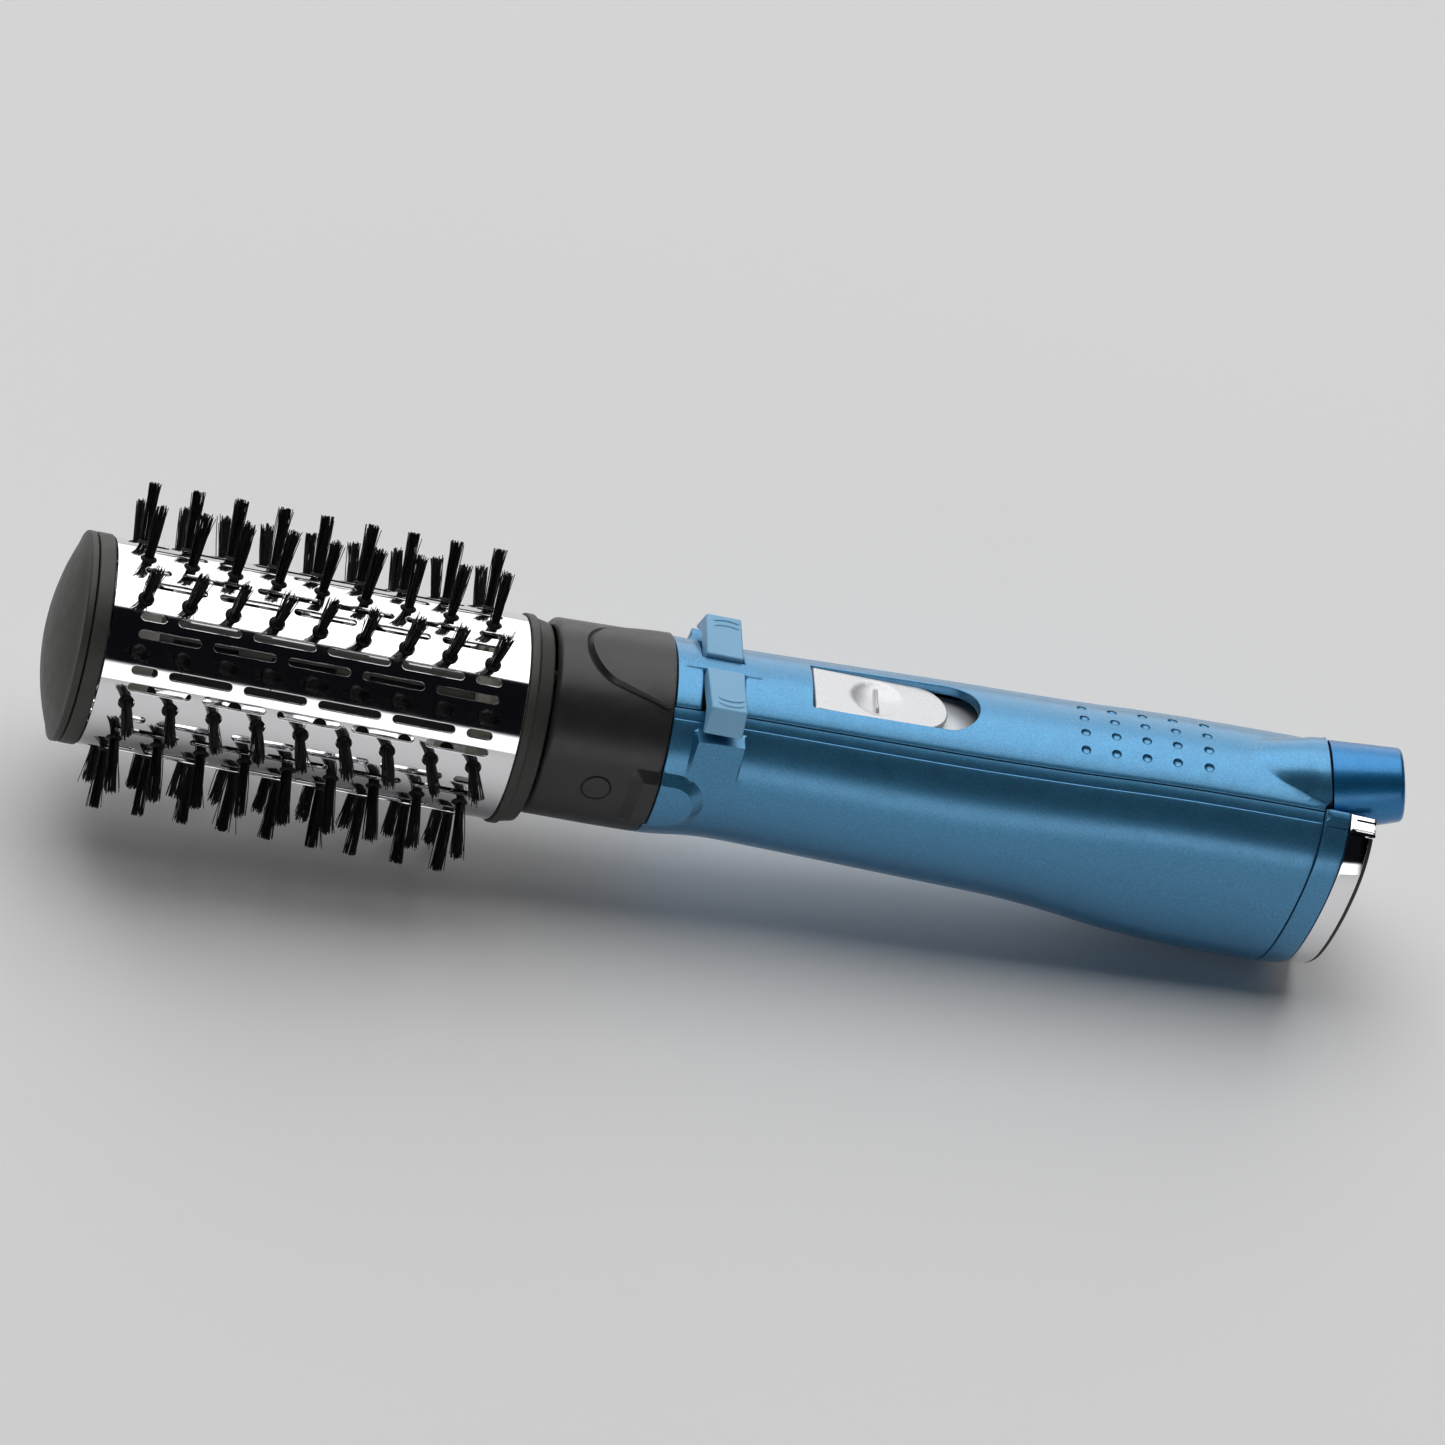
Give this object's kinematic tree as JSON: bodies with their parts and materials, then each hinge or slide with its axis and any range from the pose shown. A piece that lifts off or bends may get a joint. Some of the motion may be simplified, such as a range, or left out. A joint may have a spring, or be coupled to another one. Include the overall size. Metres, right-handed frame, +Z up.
{
  "type": "hot air brush",
  "caption": "Rotating hot air brush with a slotted mirror barrel, nylon tufts, a pearl blue handle and a cord swivel.",
  "frame": {"origin": "centre of the whole object's bounding box at the height of the surface it rests on", "axes": "+X from the brush end to the cord end, -Y the side shown with its left button, +Z up through the switch side; the barrel axis falls 4.35 degrees towards the cord end"},
  "size_m": [0.3338, 0.0798, 0.0863],
  "materials": {
    "barrel_chrome": "mirror polished",
    "bristle_nylon": "satin",
    "cap_plastic": "fine matte",
    "collar_plastic": "satin",
    "pearl_blue": "pearl lacquer",
    "button_blue": "satin",
    "swivel_blue": "gloss",
    "rim_chrome": "mirror polished",
    "switch_silver": "satin silver",
    "inner_black": "matte",
    "acetal": "satin",
    "steel": "brushed",
    "mica": "matte",
    "heating_wire": "satin",
    "board_green": "satin"
  },
  "bodies": {
    "handle": {"air_core": "cap_plastic", "core_pin": "steel", "collar": "collar_plastic", "main_shell": "pearl_blue", "top_cover": "pearl_blue", "trim_strip_left": "pearl_blue", "trim_strip_right": "pearl_blue", "rear_band": "pearl_blue", "swivel_socket": "inner_black", "switch_base": "switch_silver", "switch_block": "inner_black", "tact_switch_left": "inner_black", "tact_switch_right": "inner_black", "control_board": "board_green", "gearbox": "steel", "gear_motor": "steel", "duct_cone": "inner_black", "air_duct": "inner_black", "mica_sleeve": "mica", "heater_former": "mica", "heater_coil": "heating_wire", "thermostat": "steel", "thermal_fuse": "steel", "fan_housing": "inner_black", "motor_mount": "inner_black", "fan_motor": "steel"},
    "brush": {"barrel": "barrel_chrome", "bristle_row_01": "bristle_nylon", "bristle_row_02": "bristle_nylon", "bristle_row_03": "bristle_nylon", "bristle_row_04": "bristle_nylon", "bristle_row_05": "bristle_nylon", "bristle_row_06": "bristle_nylon", "bristle_row_07": "bristle_nylon", "bristle_row_08": "bristle_nylon", "bristle_row_09": "bristle_nylon", "bristle_row_10": "bristle_nylon", "bristle_row_11": "bristle_nylon", "bristle_row_12": "bristle_nylon", "end_cap": "cap_plastic", "cap_ring": "cap_plastic", "rear_ring": "cap_plastic", "drive_hub": "acetal", "front_bush": "acetal"},
    "pinion": {"drive_pinion": "steel"},
    "fan": {"motor_shaft": "steel", "fan_impeller": "acetal"},
    "slider": {"switch_slider": "switch_silver"},
    "button_left": {"rotation_button_left": "button_blue"},
    "button_right": {"rotation_button_right": "button_blue"},
    "rear_cover": {"chrome_rim": "rim_chrome", "rim_clasp_left": "rim_chrome", "rim_clasp_right": "rim_chrome", "intake_grille": "inner_black", "filter_mesh": "steel"},
    "swivel": {"swivel_cone": "swivel_blue"}
  },
  "joints": [
    {"name": "brush_spin", "type": "hinge", "parent": "handle", "child": "brush", "pos_m": [0.00223, 0, 0.03497], "axis": [0.9971, 0, -0.0758], "continuous": true},
    {"name": "pinion_spin", "type": "hinge", "parent": "handle", "child": "pinion", "pos_m": [-0.05347, 0, 0.05425], "axis": [0.9971, 0, -0.0758], "continuous": true},
    {"name": "fan_spin", "type": "hinge", "parent": "handle", "child": "fan", "pos_m": [0.12687, 0, 0.02549], "axis": [0.9971, 0, -0.0758], "continuous": true},
    {"name": "switch_slide", "type": "slide", "parent": "handle", "child": "slider", "axis": [0.9971, 0, -0.0758], "range_m": [0, 0.007]},
    {"name": "left_button_press", "type": "slide", "parent": "handle", "child": "button_left", "axis": [-0.0758, 0, -0.9971], "range_m": [0, 0.0012], "stiffness_N_per_m": 800, "springref_m": -0.0005},
    {"name": "right_button_press", "type": "slide", "parent": "handle", "child": "button_right", "axis": [-0.0758, 0, -0.9971], "range_m": [0, 0.0012], "stiffness_N_per_m": 800, "springref_m": -0.0005},
    {"name": "rear_cover_pull", "type": "slide", "parent": "handle", "child": "rear_cover", "axis": [0.9971, 0, -0.0758], "range_m": [0, 0.025]},
    {"name": "swivel_turn", "type": "hinge", "parent": "handle", "child": "swivel", "pos_m": [0.14782, 0, 0.05047], "axis": [0.9828, 0, 0.1848], "continuous": true}
  ],
  "couplings": [
    {"joint": "pinion_spin", "follows": "brush_spin", "ratio": 4}
  ]
}
